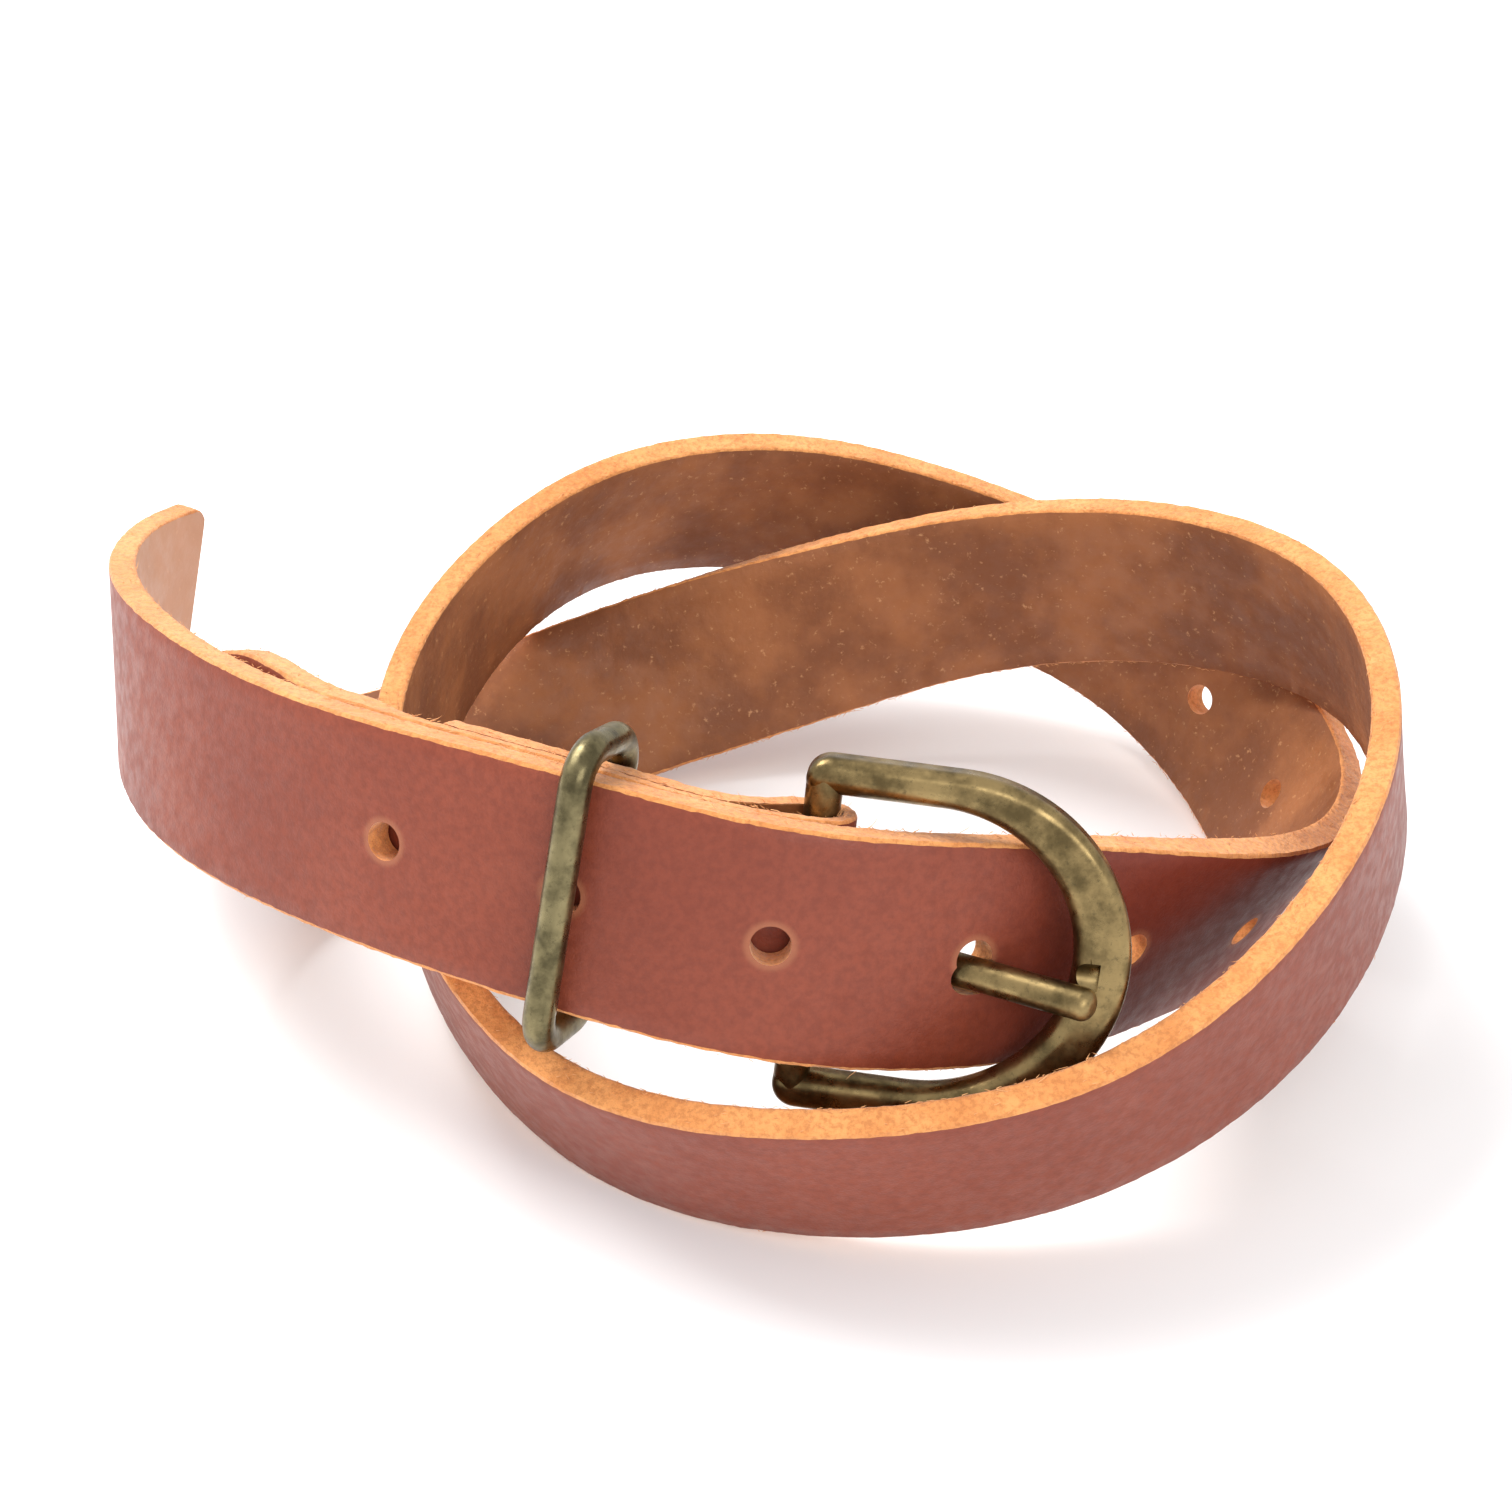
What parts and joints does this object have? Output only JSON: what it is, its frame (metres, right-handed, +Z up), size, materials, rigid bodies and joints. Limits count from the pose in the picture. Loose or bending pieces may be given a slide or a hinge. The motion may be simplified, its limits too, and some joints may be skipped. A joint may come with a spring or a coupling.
{
  "type": "leather belt",
  "caption": "Leather belt resting in a loose double coil, with a rounded brass buckle, a prong through one of its holes and a wire keeper loop.",
  "frame": {"origin": "centre of the coiled belt's footprint, on the surface it rests on", "axes": "+X along the coil's longest side, toward the buckle's curved front; +Z up; the buckled front faces -Y"},
  "size_m": [0.1964, 0.147, 0.0702],
  "materials": {
    "strap_leather": "satin pebbled grain, raw tan edges",
    "antique_brass": "dark antique patina with bright rubbed edges",
    "rivet_brass": "satin"
  },
  "bodies": {
    "strap": {"strap": "strap_leather", "rivet_posts": "rivet_brass", "rivet_caps": "rivet_brass"},
    "buckle": {"buckle_frame": "antique_brass"},
    "prong": {"prong": "antique_brass"},
    "keeper": {"keeper_loop": "antique_brass"}
  },
  "joints": [
    {"name": "buckle_hinge", "type": "hinge", "parent": "strap", "child": "buckle", "pos_m": [0.00928, -0.05233, 0.04413], "axis": [-0.0919, -0.3107, -0.9461], "range_deg": [0, 0.8]},
    {"name": "prong_hinge", "type": "hinge", "parent": "buckle", "child": "prong", "pos_m": [0.00928, -0.05233, 0.04413], "axis": [-0.0919, -0.3107, -0.9461], "range_deg": [0, 1.2]},
    {"name": "keeper_slide", "type": "slide", "parent": "strap", "child": "keeper", "axis": [0.9299, -0.3665, -0.0293], "range_m": [-0.003, 0.003]}
  ]
}
